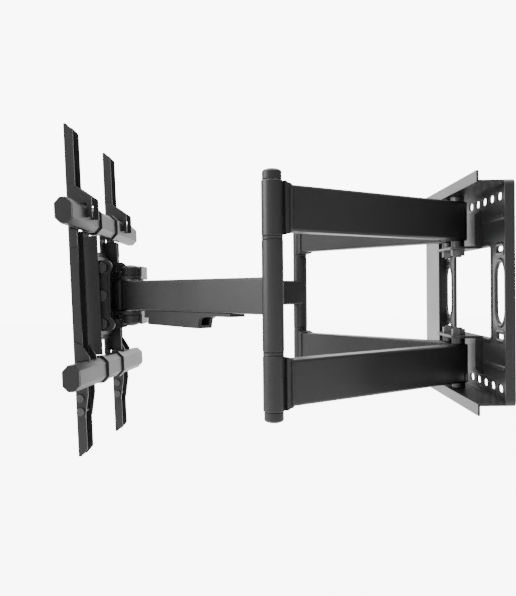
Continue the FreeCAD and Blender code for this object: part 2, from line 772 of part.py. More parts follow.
node("yoke_upper", yoke_ear("yoke_upper", 1), at_head)
node("yoke_lower", yoke_ear("yoke_lower", -1), at_head)
node("yoke_spacer", rod("yoke_spacer", 8, 2 * ear_z, (0, 0, 0)),
     f"{at_head} * {spot(0, 3, -ear_z)}")
for word, slack in (("right", 0), ("left", 0.3)):
    at_head_pin = f"{at_head} * {spot(pivot_x[word], 0, 0)}"
    node(f"head_pin_{word}", head_pin(f"head_pin_{word}", slack), at_head_pin)
head_washers("head_washers")
face = ear_z + ear_t
node("swivel_bolt", fuse("swivel_bolt", [
    rod("swivel_shank", shaft_r, 2 * face + 12, (0, 0, -face - 6)),
    hexagon("swivel_head", 18, 7, (0, 0, face)),
    hexagon("swivel_nut", 18, 8, (0, 0, -face - 8))]),
    f"{at_head} * {spot(0, -swivel_y, 0)}")


# ---------------------------------------------------------------- swivel and tilt

at_swivel = f"{at_head} * {spot(0, -swivel_y, 0, turn_rest)}"
axis_y = swivel_y - tilt_y
at_tilt = f"{at_swivel} * {spot(0, axis_y, 0, tilt_rest, 'X')}"
swivel_cheek_y = axis_y + 3
swivel_cheek_w = 13
swivel_cheek_tall = 2 * (tilt_bolt_z + 8)


def swivel_block(name):
    """Barrel on the swivel bolt, cross plate and the two cheeks that carry the tilt."""
    owner = tube_profile(name, shaft_r + fit_gap, barrel_r, -ear_z + plate_gap,
                         ear_z - plate_gap, 0.5)
    cross = sketch(owner, "XZ_Plane", barrel_r - 1)
    draw_rounded(cross, 0, 0, 2 * (cheek_x + cheek_t), 40, 4)
    pad(owner, cross, cheek_t)
    for side in (1, -1):
        cheek = sketch(owner, "YZ_Plane", side * (cheek_x + cheek_t / 2))
        draw_rounded(cheek, swivel_cheek_y, 0, swivel_cheek_w, swivel_cheek_tall, 6.4)
        pad(owner, cheek, cheek_t, both=True)
    bores = sketch(owner, "YZ_Plane")
    for z in (0, tilt_bolt_z, -tilt_bolt_z):
        draw_circle(bores, axis_y, z, bolt_r)
    pocket(owner, bores, 3 * cheek_x, both=True)
    return owner


def cross_bolts(label, places, gap, where):
    """Bolts along X into the swivel's cheeks, heads outside; places are (y, z) pairs."""
    made = []
    inner = cheek_x
    outer = cheek_x + 2 * cheek_t + plate_gap + gap
    for i, (y, z) in enumerate(places):
        for side in (1, -1):
            name = f"{label}_{i}_{'right' if side > 0 else 'left'}"
            shank = rod(name + "_shank", bolt_r, outer - inner, (inner, y, z), "x")
            head = hexagon(name + "_head", nut_wide, 5, (outer, y, z), "x")
            bolt = fuse(name, [shank, head])
            if side < 0:
                bolt.setExpression("Placement", spot(0, 2 * y, 0, 180))
            made.append(bolt)
    node(label, group(label, made), where)


def tilt_bracket(name):
    """Front plate and two outer cheeks with the pivot bores and clamp slots."""
    owner = body(name)
    back = tilt_plate_y - tilt_y
    plate = sketch(owner, "XZ_Plane", back)
    draw_rounded(plate, 0, 0, 2 * (cheek_x + 2 * cheek_t + plate_gap), 110, 6)
    draw_circle(plate, 0, 0, 2 * bolt_r)
    for end in (1, -1):
        draw_circle(plate, 0, end * level_bolt_z, bolt_r)
    pad(owner, plate, head_t)
    # C-shaped cheeks: a lobe above and below, and a narrow middle round the pivot
    lobe_r = 9
    rear = 15 - lobe_r
    lobe_z = tilt_bolt_z + 1
    swing_up = tilt_bolt_z * sin(10)
    swing_down = tilt_bolt_z * sin(5)
    slot_mid = (swing_up - swing_down) / 2
    slot_run = swing_up + swing_down + 2 * bolt_r + 2
    slot_z = tilt_bolt_z * (1 + cos(10)) / 2
    for side in (1, -1):
        x = side * (cheek_x + 1.5 * cheek_t + plate_gap)
        middle = sketch(owner, "YZ_Plane", x)
        draw_rounded(middle, (7 - back) / 2, 0, 7 + back, 2 * tilt_bolt_z, 2)
        pad(owner, middle, cheek_t, both=True)
        for end in (1, -1):
            lobe = sketch(owner, "YZ_Plane", x)
            corners = [(2 - back, lobe_z + 7, 2), (2 - back, lobe_z - 16, 2), (rear, lobe_z, lobe_r)]
            draw_hull(lobe, [(y, end * z, r) for y, z, r in corners][::end])
            pad(owner, lobe, cheek_t, both=True)
    bores = sketch(owner, "YZ_Plane")
    draw_circle(bores, 0, 0, bolt_r + fit_gap)
    for end in (1, -1):
        draw_slot(bores, end * slot_mid, end * slot_z, slot_run, 2 * bolt_r + 2)
    pocket(owner, bores, 3 * cheek_x, both=True)
    return owner


node("swivel_block", swivel_block("swivel_block"), at_swivel)
at_axis = f"{at_swivel} * {spot(0, axis_y, 0)}"
cross_bolts("tilt_pivot_bolts", [(0, 0)], 0.1, at_axis)
cross_bolts("tilt_clamp_bolts", [(0, tilt_bolt_z), (0, -tilt_bolt_z)], 0.1, at_axis)
node("tilt_bracket", tilt_bracket("tilt_bracket"), at_tilt)


# ---------------------------------------------------------------- level frame

plate_back = tilt_plate_y - tilt_y
level_back = plate_back + head_t + plate_gap
bar_back = level_back + head_t
rail_y = rail_d / 2 - bar_back
at_level = f"{at_tilt} * {spot(0, 0, 0, level_rest, 'Y')}"
stud_front = -bar_back - plate_gap
head_low = 2.6
node("level_stud", fuse("level_stud", [
    rod("stud_shank", 2 * bolt_r, 3 - plate_back - stud_front, (0, stud_front, 0), "y"),
    rod("stud_flange", 3 * bolt_r, head_low, (0, stud_front - head_low, 0), "y")]), at_tilt)


def level_bolts():
    made = []
    for i, end in enumerate((1, -1)):
        name = f"level_bolt_{i}"
        z = end * level_bolt_z
        start = -bar_back - plate_gap
        shank = rod(name + "_shank", bolt_r, 8 - plate_back - start, (0, start, z), "y")
        head = rod(name + "_head", 7, head_low, (0, start - head_low, z), "y")
        nut = hexagon(name + "_nut", nut_wide, 6, (0, -plate_back, z), "y")
        made.append(fuse(name, [shank, head, nut]))
    node("level_bolts", group("level_bolts", made), at_tilt)


level_bolts()


def level_plate(name):
    owner = body(name)
    face_sketch = sketch(owner, "XZ_Plane", level_back)
    draw_rounded(face_sketch, 0, 0, level_w, 124, 8)
    draw_circle(face_sketch, 0, 0, 2 * bolt_r + fit_gap)
    for end in (1, -1):
        draw_slot(face_sketch, 0, end * level_bolt_z, 17, 2 * bolt_r + 1.2)
    pad(owner, face_sketch, head_t)
    return owner


node("level_plate", level_plate("level_plate"), at_level)
bar_half = rail_gap / 2 + rail_tall / 2
flange_half = rail_gap / 2 - rail_tall / 2 - 4
for word, side in (("right", 1), ("left", -1)):
    name = f"upright_{word}"
    owner = body(name)
    bar = sketch(owner, "XZ_Plane", bar_back)
    draw_rounded(bar, side * upright_x, 0, upright_w, 2 * bar_half, 4)
    pad(owner, bar, head_t)
    edge = side * (upright_x + upright_w / 2 - head_t / 2)
    flange = sketch(owner, "YZ_Plane", edge)
    draw_polygon(flange, [(-bar_back - head_t, -flange_half), (upright_d - bar_back, -flange_half),
                          (upright_d - bar_back, flange_half), (-bar_back - head_t, flange_half)])
    pad(owner, flange, head_t, both=True)
    node(name, owner, at_level)


def octagon(made, middle_y, middle_z, deep, tall, flat):
    """A rectangle with its corners cut at 45 degrees."""
    y, z = deep / 2, tall / 2
    corners = [(y, flat - z), (y, z - flat), (y - flat, z), (flat - y, z),
               (-y, z - flat), (-y, flat - z), (flat - y, -z), (y - flat, -z)]
    draw_polygon(made, [(middle_y + u, middle_z + v) for u, v in corners])


def rail(name, middle_z):
    owner = body(name)
    section = sketch(owner, "YZ_Plane")
    octagon(section, rail_y, middle_z, rail_d, rail_tall, rail_cut)
    octagon(section, rail_y, middle_z, rail_d - 2 * rail_wall, rail_tall - 2 * rail_wall,
            rail_cut - 0.6 * rail_wall)
    pad(owner, section, rail_len, both=True)
    return owner


def rail_caps(label, middle_z):
    """The two plastic end caps of one rail, each a face with a plug."""
    made = []
    for word, side in (("right", 1), ("left", -1)):
        owner = body(f"{label}_{word}")
        end_face = sketch(owner, "YZ_Plane", side * rail_len / 2)
        octagon(end_face, rail_y, middle_z, rail_d - 0.4, rail_tall - 0.4, rail_cut)
        pad(owner, end_face, cap_t, backwards=side < 0)
        plug = sketch(owner, "YZ_Plane", side * rail_len / 2)
        octagon(plug, rail_y, middle_z, rail_d - 2 * rail_wall - 0.4,
                rail_tall - 2 * rail_wall - 0.4, rail_cut)
        pad(owner, plug, 2 * cap_t, backwards=side > 0)
        made.append(owner)
    return made


def rail_clamps(label, middle_z):
    """The two straps that hold a rail against the uprights."""
    made = []
    for word, side in (("right", 1), ("left", -1)):
        owner = body(f"{label}_{word}")
        strap = sketch(owner, "YZ_Plane", side * upright_x)
        octagon(strap, rail_y, middle_z, rail_d + 5, rail_tall + 5, rail_cut + 1.5)
        octagon(strap, rail_y, middle_z, rail_d, rail_tall, rail_cut)
        pad(owner, strap, upright_w / 2, both=True)
        front = sketch(owner, "XZ_Plane", bar_back)
        left = side * upright_x - upright_w
        right = side * upright_x + upright_w
        draw_polygon(front, [(left, middle_z - rail_tall), (right, middle_z - rail_tall),
                             (right, middle_z + rail_tall), (left, middle_z + rail_tall)])
        pocket(owner, front, 10, backwards=True)
        made.append(owner)
    return made


caps = []
clamps = []
for level, side in (("upper", 1), ("lower", -1)):
    middle_z = side * rail_gap / 2
    node(f"rail_{level}", rail(f"rail_{level}", middle_z), at_level)
    caps += rail_caps(f"cap_{level}", middle_z)
    clamps += rail_clamps(f"clamp_{level}", middle_z)
node("rail_caps", group("rail_caps", caps), at_level)
node("rail_clamps", group("rail_clamps", clamps), at_level)


# ---------------------------------------------------------------- screen brackets

track_face = bar_back + head_t + 2.2
track_edge = track_d - track_face
upper_z = rail_gap / 2
rail_half = rail_tall / 2 + hook_gap
rail_front = -bar_back - hook_gap
rail_rear = rail_d - bar_back + hook_gap


def track(name, x):
    """A channel upright with holes for the screen's screws and notches for the rails."""
    owner = body(name)
    web = sketch(owner, "XZ_Plane", track_face - track_d)
    draw_polygon(web, [(x - track_w / 2, track_up - track_len / 2),
                       (x + track_w / 2, track_up - track_len / 2),
                       (x + track_w / 2, track_up + track_len / 2),
                       (x - track_w / 2, track_up + track_len / 2)])
    pad(owner, web, track_d)
    trough = sketch(owner, "XZ_Plane", track_face - track_d)
    inside = track_w / 2 - track_t
    draw_polygon(trough, [(x - inside, -track_len), (x + inside, -track_len),
                          (x + inside, track_len), (x - inside, track_len)])
    pocket(owner, trough, track_d - track_t, backwards=True)
    for side in (1, -1):
        notch = sketch(owner, "XZ_Plane", track_face - track_d)
        low = side * upper_z - rail_half
        high = side * upper_z + rail_half
        draw_polygon(notch, [(x - track_w, low), (x + track_w, low), (x + track_w, high),
                             (x - track_w, high)])
        pocket(owner, notch, track_d - track_face - rail_front, backwards=True)
    holes = sketch(owner, "XZ_Plane", track_face)
    for z in (-200, -150, -100, -50, 50, 100, 150, 200):
        draw_circle(holes, x, z, hole_r)
    for z in (-175, -125, 125, 175):
        draw_slot(holes, x, z, 20, 2 * hole_r, upright=True)
    pocket(owner, holes, 2 * track_t, both=True)
    # chamfered upper and lower corners of the channel's sides
    for end in (1, -1):
        corner = sketch(owner, "YZ_Plane", x)
        tip = track_up + end * track_len / 2
        draw_polygon(corner, [(track_edge + 1, tip + end), (track_edge - 9, tip + end),
                              (track_edge + 1, tip - end * 10)][::end])
        pocket(owner, corner, 2 * track_w, both=True)
    return owner


def hooks(name, x):
    """Two cheek plates with the hook over the upper rail and the claw on the lower one."""
    owner = body(name)
    front = -track_face + track_t
    for side in (1, -1):
        plate = sketch(owner, "YZ_Plane", x + side * (track_w / 2 + hook_t / 2))
        draw_polygon(plate, [
            (front, upper_z + 40), (track_edge, upper_z + 40), (rail_rear + 6, upper_z + 24),
            (rail_rear + 6, upper_z - 2), (rail_rear, upper_z - 2), (rail_rear, upper_z + rail_half),
            (rail_front, upper_z + rail_half), (rail_front, upper_z - rail_half),
            (track_edge, upper_z - rail_half), (track_edge, upper_z - 38), (front, upper_z - 38)])
        pad(owner, plate, hook_t, both=True)
        claw = sketch(owner, "YZ_Plane", x + side * (track_w / 2 + hook_t / 2))
        draw_polygon(claw, [
            (front, 40 - upper_z), (track_edge, 36 - upper_z), (rail_rear - 6, rail_half + 4 - upper_z),
            (rail_rear - 6, rail_half - upper_z), (rail_front, rail_half - upper_z),
            (rail_front, -upper_z - rail_half), (track_edge + 5, -upper_z - rail_half),
            (track_edge + 5, -upper_z - rail_half - 10), (track_edge, -upper_z - 56),
            (front, -upper_z - 56)])
        pad(owner, claw, hook_t, both=True)
    bores = sketch(owner, "YZ_Plane", x)
    for z in lock_z:
        draw_circle(bores, lock_y, z, lock_r)
    pocket(owner, bores, 3 * track_w, both=True)
    return owner


lock_y = track_edge - 5
lock_z = (-upper_z - 31, -upper_z - 48)


def lock_screws(label, x):
    made = []
    reach = track_w / 2 + hook_t
    for i, z in enumerate(lock_z):
        name = f"{label}_{i}"
        shank = rod(name + "_shank", lock_r, 2 * reach, (x - reach, lock_y, z), "x")
        head = rod(name + "_head", 5, 3, (x + reach, lock_y, z), "x")
        nut = hexagon(name + "_nut", 10, 4, (x - reach - 4, lock_y, z), "x")
        made.append(fuse(name, [shank, head, nut]))
    node(label, group(label, made), at_level)


for word, side in (("right", 1), ("left", -1)):
    x = side * hole_span / 2
    frame_track = track(f"screen_bracket_{word}", x)
    lock_bores = sketch(frame_track, "YZ_Plane", x)
    for z in lock_z:
        draw_circle(lock_bores, lock_y, z, lock_r)
    pocket(frame_track, lock_bores, 3 * track_w, both=True)
    node(f"screen_bracket_{word}", frame_track, at_level)
    node(f"bracket_hooks_{word}", hooks(f"bracket_hooks_{word}", x), at_level)
    lock_screws(f"lock_screws_{word}", x)


# ---------------------------------------------------------------- checks and files

doc.recompute()
failed = [thing.Name for thing in doc.Objects if {"Invalid", "Error"} & set(thing.State)]
if failed:
    raise RuntimeError("failed features: " + ", ".join(failed))
os.makedirs("parts", exist_ok=True)
for thing in nodes:
    if thing.Shape.isNull() or not thing.Shape.isValid():
        raise RuntimeError("bad shape: " + thing.Label)
for thing in nodes:
    thing.Shape.exportStep(f"parts/{thing.Label}.step")
print(len(nodes), "parts written")
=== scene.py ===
# %% [markdown]
# # A full motion wall mount for a flat screen
# The real object is bent, welded and powder-coated steel: a wall plate, two folding
# arms of double tubes, two single forearms, and a head that turns, tilts and levels.
# Its shapes and pivots come from the imported CAD model, which is loaded as a fixed
# frame. This script gives every part its finish, and models again the small parts
# whose look depends on soft shapes: elbow caps, collars, weld seams, rims and the head pins' caps.

# %% Load the frame
import json

import bmesh
import bpy
import numpy as np
from mathutils import Matrix, Vector


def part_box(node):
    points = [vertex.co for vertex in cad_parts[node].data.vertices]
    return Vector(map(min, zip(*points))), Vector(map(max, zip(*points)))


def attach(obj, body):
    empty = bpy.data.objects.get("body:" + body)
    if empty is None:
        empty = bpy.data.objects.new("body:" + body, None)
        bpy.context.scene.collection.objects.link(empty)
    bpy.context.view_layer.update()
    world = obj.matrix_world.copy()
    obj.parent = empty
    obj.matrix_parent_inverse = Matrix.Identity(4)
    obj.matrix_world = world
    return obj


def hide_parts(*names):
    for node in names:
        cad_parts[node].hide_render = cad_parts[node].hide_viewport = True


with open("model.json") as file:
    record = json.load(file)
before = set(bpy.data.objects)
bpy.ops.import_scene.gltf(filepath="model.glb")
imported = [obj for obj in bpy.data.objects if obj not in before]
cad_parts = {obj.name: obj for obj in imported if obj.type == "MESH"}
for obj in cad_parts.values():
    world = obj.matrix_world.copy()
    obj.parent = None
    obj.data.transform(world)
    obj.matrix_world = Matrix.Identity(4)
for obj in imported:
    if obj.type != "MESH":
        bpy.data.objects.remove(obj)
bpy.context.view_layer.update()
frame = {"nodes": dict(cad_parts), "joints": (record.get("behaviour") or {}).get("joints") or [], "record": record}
nodes = frame["nodes"]
joints = {joint["name"]: joint for joint in frame["joints"]}

# %% [markdown]
# ## Places
# Sizes below are in millimetres, as on a workshop drawing, and become metres only
# when a mesh is made. The pivots' places are read from the joints, so a piece follows
# the CAD. An arm's own axes are X along the arm, Z up, with the pivot at its origin;
# a 4 by 4 matrix carries points from there to where the arm is.

# %% Places and matrices
MM = 0.001


def turned(axis, degrees):
    """Matrix of a turn about X, Y or Z: the other two axes mix by cosine and sine."""
    c, s = np.cos(np.radians(degrees)), np.sin(np.radians(degrees))
    a, b = {"X": (1, 2), "Y": (2, 0), "Z": (0, 1)}[axis]
    matrix = np.eye(4)
    matrix[a, a] = matrix[b, b] = c
    matrix[a, b], matrix[b, a] = -s, s
    return matrix


def moved(x, y, z):
    """Matrix of a shift by x, y, z millimetres."""
    matrix = np.eye(4)
    matrix[:3, 3] = x, y, z
    return matrix


def pivot(joint):
    return np.array(joints[joint]["pos_m"]) / MM


def link(start, end):
    """Matrix of a link's own axes: at one pivot, with X towards the other."""
    run = end - start
    return moved(*start) @ turned("Z", np.degrees(np.arctan2(run[1], run[0])))


post_r, boss_gap = 11.5, 5.0
pin_r = 5.0
ear_t = 4.0
upside_down = turned("X", 180)
head_right = pivot("head_carry")
pin_gap = pivot("arm_right_fold")[0] - pivot("arm_left_fold")[0]
head_pins = {"right": head_right, "left": head_right - [pin_gap, 0, 0]}
elbows = {"right": pivot("forearm_right_fold"), "left": pivot("forearm_left_fold")}
arms = {w: link(pivot(f"arm_{w}_fold"), elbows[w]) for w in elbows}
forearms = {w: link(elbows[w], head_pins[w]) for w in elbows}
link_len = float(np.linalg.norm(elbows["right"] - pivot("arm_right_fold")))
print("link", round(link_len, 1), "mm, elbows", [e.round(1).tolist() for e in elbows.values()])

# %% [markdown]
# ## Surfaces
# Every new piece is a grid of points: a profile turned round an axis, or a profile
# carried along a path. The whole grid is one numpy array, so there is no loop over
# vertices. Blender gets it through foreach_set; points that meet at a pole are
# merged, and the normals are then made to point outwards.

# %% Grid of points to mesh
def grid_faces(rows, columns, round_rows, round_columns):
    """Quads between neighbouring rows and columns; a round direction joins its ends."""
    i = np.arange(rows if round_rows else rows - 1)[:, None]
    j = np.arange(columns if round_columns else columns - 1)[None, :]
    below, beside = (i + 1) % rows, (j + 1) % columns
    corners = [i * columns + j, i * columns + beside, below * columns + beside,
               below * columns + j]
    return np.stack([np.broadcast_to(c, (i.size, j.size)) for c in corners], -1).reshape(-1, 4)


def piece(name, sheets, body, sharp=35):
    """One object from several grids, given as (points, round_rows, round_columns)."""
    points, quads, count = [], [], 0
    for grid, round_rows, round_columns in sheets:
        points.append(grid.reshape(-1, 3))
        quads.append(grid_faces(*grid.shape[:2], round_rows, round_columns) + count)
        count += points[-1].shape[0]
    points, quads = np.concatenate(points) * MM, np.concatenate(quads)
    mesh = bpy.data.meshes.new(name)
    mesh.vertices.add(len(points))
    mesh.vertices.foreach_set("co", points.ravel())
    mesh.loops.add(quads.size)
    mesh.loops.foreach_set("vertex_index", quads.ravel())
    mesh.polygons.add(len(quads))
    mesh.polygons.foreach_set("loop_start", np.arange(0, quads.size, 4))
    mesh.update(calc_edges=True)
    shell = bmesh.new()
    shell.from_mesh(mesh)
    bmesh.ops.remove_doubles(shell, verts=shell.verts, dist=1e-6)
    bmesh.ops.dissolve_degenerate(shell, edges=shell.edges, dist=1e-7)
    bmesh.ops.recalc_face_normals(shell, faces=shell.faces)
    shell.to_mesh(mesh)
    shell.free()
    mesh.shade_smooth()
    mesh.set_sharp_from_angle(angle=np.radians(sharp))
    made = bpy.data.objects.new(name, mesh)
    bpy.context.scene.collection.objects.link(made)
    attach(made, body)
    print(f"{name}: {len(mesh.polygons)} faces on {body}")
    return made


def placed(grid, matrix):
    """Every point of a grid, carried by a matrix."""
    return grid @ matrix[:3, :3].T + matrix[:3, 3]


# %% [markdown]
# A profile is a short list of radii and heights, or a flat closed loop. Round stretches
# are arcs with their own formula, so a radius can change without moving other points.

# %% Profiles
def lathe(profile, sides=64):
    """Turns (radius, height) points about Z: x = r cos(a), y = r sin(a), z = h."""
    radius, height = np.array(profile, float).T
    angle = np.linspace(0, 2 * np.pi, sides, endpoint=False)
    x = radius[:, None] * np.cos(angle)
    y = radius[:, None] * np.sin(angle)
    return np.stack([x, y, np.broadcast_to(height[:, None], x.shape)], -1)


def arc(middle, radius, start, end, steps=8):
    """Points round a circle from one angle to another: middle + r (cos, sin)."""
    angle = np.radians(np.linspace(start, end, steps))
    return list(zip(middle[0] + radius * np.cos(angle), middle[1] + radius * np.sin(angle)))


def rounded_loop(wide, tall, corner, steps=8, side=10):
    """Points round a rectangle with round corners, as evenly spaced as its runs allow."""
    du, dv = wide / 2 - corner, tall / 2 - corner
    loop = []
    for k, (u, v) in enumerate([(du, dv), (-du, dv), (-du, -dv), (du, -dv)]):
        bend = np.array(arc((u, v), corner, 90 * k, 90 * k + 90, steps))
        following = [(-du, dv + corner), (-du - corner, -dv), (du, -dv - corner),
                     (du + corner, dv)][k]
        run = np.linspace(bend[-1], following, side + 1)[1:-1]
        loop.append(np.concatenate([bend, run]))
    return np.concatenate(loop)


def bead(loop, half_width, height, ripple=0.0, pitch=2.0):
    """A seam along a closed flat loop in the XY plane, standing up along Z: its section
    is a half ellipse, and ripple swells it once for each pitch of the loop's length."""
    run = np.roll(loop, -1, 0) - loop
    length = np.concatenate([[0], np.cumsum(np.linalg.norm(run, axis=1))[:-1]])
    along = np.roll(loop, -1, 0) - np.roll(loop, 1, 0)
    along /= np.linalg.norm(along, axis=1)[:, None]
    outwards = np.stack([along[:, 1], -along[:, 0]], -1)
    angle = np.linspace(0, 2 * np.pi, 13)[:-1]
    swell = 1 + ripple * np.abs(np.sin(np.pi * length / pitch))[:, None]
    side = half_width * np.cos(angle) * swell
    up = height * np.sin(angle) * swell
    grid = np.empty((len(loop), len(angle), 3))
    grid[..., 0] = loop[:, None, 0] + outwards[:, None, 0] * side
    grid[..., 1] = loop[:, None, 1] + outwards[:, None, 1] * side
    grid[..., 2] = up
    return grid


print("profiles ready:", lathe([(1, 0), (1, 1)]).shape, rounded_loop(50, 24, 3).shape)

# %% [markdown]
# ## Finishes
# A finish is a small network of nodes. Written node by node it is hard to read, so a
# class wraps one output and lets sums on it be written as ordinary expressions. All
# patterns read Object coordinates, which are metres here, so a noise of scale 500
# has grains of about 2 mm on every part.

# %% Expressions on sockets
class Signal:
    """One output of a node; a sum on it adds a Math node."""

    def __init__(self, finish, socket):
        self.finish, self.socket = finish, socket

    def _math(self, operation, first, second=0.0):
        return self.finish.node("Math", {"operation": operation}, {0: first, 1: second})

    def __add__(self, other):
        return self._math("ADD", self, other)

    def __sub__(self, other):
        return self._math("SUBTRACT", self, other)

    def __rsub__(self, other):
        return self._math("SUBTRACT", other, self)

    def __mul__(self, other):
        return self._math("MULTIPLY", self, other)

    __radd__ = __add__
    __rmul__ = __mul__

    def above_zero(self):
        return self._math("MAXIMUM", self, 0.0)


class Nodes:
    """Makes the nodes of one tree."""

    def __init__(self, tree):
        self.tree = tree

    def node(self, kind, settings=None, inputs=None, output=0):
        """A node of a kind, with its settings first and then its sockets' values."""
        made = self.tree.nodes.new("ShaderNode" + kind)
        for name, value in (settings or {}).items():
            if name == "stops":
                stops = made.color_ramp.elements
                while len(stops) < len(value):
                    stops.new(0.5)
                for stop, (place, grey) in zip(stops, value):
                    stop.position, stop.color = place, (grey, grey, grey, 1)
            else:
                setattr(made, name, value)
        for socket, value in (inputs or {}).items():
            if isinstance(value, Signal):
                self.tree.links.new(value.socket, made.inputs[socket])
            else:
                made.inputs[socket].default_value = value
        return Signal(self, made.outputs[output])

    def blend(self, share, first, second):
        """A colour between two: share 0 gives the first, 1 the second."""
        return self.node("Mix", {"data_type": "RGBA"}, {0: share, 6: first, 7: second}, 2)


class Finish(Nodes):
    """One material with a Principled surface; constants go on its own sockets."""

    def __init__(self, name, **constants):
        self.material = bpy.data.materials.new(name)
        self.material.use_nodes = True
        super().__init__(self.material.node_tree)
        self.surface = self.tree.nodes["Principled BSDF"]
        for socket, value in constants.items():
            self.surface.inputs[socket.replace("_", " ")].default_value = value
        self.place = self.node("TexCoord", output="Object")

    def noise(self, scale, detail=2.0, stretch=(1, 1, 1)):
        """Noise of a scale per metre; stretch above 1 packs it tighter along an axis."""
        place = self.node("Mapping", {"vector_type": "POINT"},
                          {"Vector": self.place, "Scale": stretch})
        return self.node("TexNoise", None, {"Vector": place, "Scale": scale, "Detail": detail})

    def feed(self, socket, signal):
        self.tree.links.new(signal.socket, self.surface.inputs[socket])


def grey(value, blue=1.03):
    return value, value, value * blue, 1


def dress(thing, material):
    """Gives an object one material and takes away any it had."""
    thing.data.materials.clear()
    thing.data.materials.append(material)


print("a mid grey:", grey(0.5))

# %% [markdown]
# ## Rounded edges
# Bent sheet and sawn tube never have a knife edge, and it is the thin bright line
# along each edge that makes steel read as steel. Bevelling each CAD mesh would change
# it, so the Bevel node rounds only the shading: it looks at the faces within a small
# radius and turns the normal gradually across them. The angle between that soft
# normal and the true one is also a mask of the edges. On the coat it paints a lighter
# line along every edge as a painted highlight, and patchy wear where a noise allows.
# Coat and plastic each mix a slow cloud, a fine grain and that mask; plating mixes a cloud and fine turning lines,
# and leaves the mask unused.

# %% Soft edges and their mask
def soft_edges(finish, radius):
    """The rounded normal, and a mask that is 0 on flats and rises towards edges."""
    rounded = finish.node("Bevel", {"samples": 4}, {"Radius": radius})
    true = finish.node("NewGeometry", output="True Normal")
    agree = finish.node("VectorMath", {"operation": "DOT_PRODUCT"}, {0: rounded, 1: true}, 1)
    return rounded, (1 - agree).above_zero()


def powder_coat(name, shade, rough):
    """Black powder coat: an uneven melt, a fine grain, a painted highlight along every edge, and patchy wear on
    its edges.
    """
    finish = Finish(name, Metallic=0.0, IOR=1.5)
    rounded, edge = soft_edges(finish, 0.9 * MM)
    cloud = finish.noise(9, 3.0)
    peel = finish.noise(420, 2.0)
    grain = finish.noise(2600, 1.0)
    scuff = finish.node("ValToRGB", {"stops": [(0.52, 0), (0.72, 1)]},
                        {"Fac": finish.noise(60, 6.0)})
    # The ramped edge mask carries both the painted edge highlight and the wear.
    edge_highlight_and_wear = finish.node("ValToRGB", {"stops": [(0.04, 0), (0.30, 1)]}, {"Fac": edge})
    coat = finish.blend(cloud, grey(shade * 0.8), grey(shade * 1.25))
    # Painted highlight: every edge is painted lighter, a bright line along it; then, where the scuff noise allows,
    # edges are worn to grey.
    coat = finish.blend(edge_highlight_and_wear * 0.35, coat, grey(shade * 3.2))
    coat = finish.blend(edge_highlight_and_wear * scuff * 0.5, coat, grey(0.22, 1.0))
    finish.feed("Base Color", coat)
    finish.feed("Roughness", cloud * 0.10 + grain * 0.08 + (rough - 0.09))
    relief = finish.node("Bump", None, {"Strength": 0.35, "Distance": 0.00012,
                                        "Height": peel + grain * 0.45, "Normal": rounded})
    finish.feed("Normal", relief)
    return finish.material


def moulded(name, shade, rough, grain_scale):
    """Moulded plastic: a spark-eroded grain, slightly shinier where hands polish it."""
    finish = Finish(name, Metallic=0.0, IOR=1.46)
    rounded, edge = soft_edges(finish, 0.6 * MM)
    cloud = finish.noise(25, 2.0)
    cells = finish.node("TexVoronoi", {"feature": "F1"},
                        {"Vector": finish.place, "Scale": grain_scale})
    finish.feed("Base Color", finish.blend(cloud, grey(shade * 0.85, 1.0), grey(shade * 1.2, 1.0)))
    finish.feed("Roughness", cloud * 0.12 - edge * 0.3 + (rough - 0.06))
    relief = finish.node("Bump", None, {"Strength": 0.25, "Distance": 0.00008,
                                        "Height": cells, "Normal": rounded})
    finish.feed("Normal", relief)
    return finish.material


def plated(name, shade, rough, lay):
    """Plated or blackened steel: fine turning lines round the part and dull patches."""
    finish = Finish(name, IOR=1.5)
    rounded, edge = soft_edges(finish, 0.4 * MM)
    lines = finish.noise(300, 2.0, lay)
    cloud = finish.noise(110, 4.0)
    finish.feed("Base Color", finish.blend(cloud, grey(shade * 0.85), grey(shade * 1.15)))
    finish.feed("Metallic", 1 - cloud * 0.12)
    finish.feed("Roughness", lines * 0.12 + cloud * 0.14 + (rough - 0.1))
    relief = finish.node("Bump", None, {"Strength": 0.3, "Distance": 0.00005,
                                        "Height": lines, "Normal": rounded})
    finish.feed("Normal", relief)
    return finish.material


finishes = {
    "powder_black": powder_coat("powder_black", 0.021, 0.34),
    "black_plastic": moulded("black_plastic", 0.018, 0.40, 1500),
    "bush_nylon": moulded("bush_nylon", 0.045, 0.48, 900),
    "zinc_steel": plated("zinc_steel", 0.60, 0.28, (1, 1, 9)),
    "dark_bolt": plated("dark_bolt", 0.11, 0.36, (1, 1, 9)),
}
cover_gloss = moulded("cover_gloss", 0.020, 0.26, 700)
for part in frame["record"]["subparts"]:
    dress(nodes[part["node"]], finishes[part["material_slot"]])
dress(nodes["end_cover_left"], cover_gloss)
print("finishes:", ", ".join(finishes))

# %% [markdown]
# ## Elbow caps and collars
# Each elbow post ends in a moulded cap pushed over the shaft's nut, and a thin plastic
# ring separates the turning sleeve from the fixed bosses. Both are round, so each is a
# half section turned about the post's axis. The cap's section is a short skirt, a
# round shoulder and a low dome: a sphere would look too tall, a cylinder too hard.

# %% Turn the caps and collars
boss_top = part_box("arm_right_bosses")[1].z / MM
cap_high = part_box("arm_right_caps")[1].z / MM
ring_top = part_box("elbow_right_rings")[1].z / MM
cap_r, shoulder_r = 10.5, 3.0
cap_foot, cap_crown = 0.8, 1.6
ring_r, ring_tall, ring_wall = 11.35, 3.9, 4.6
groove_deep, ring_edge = 0.35, 0.4


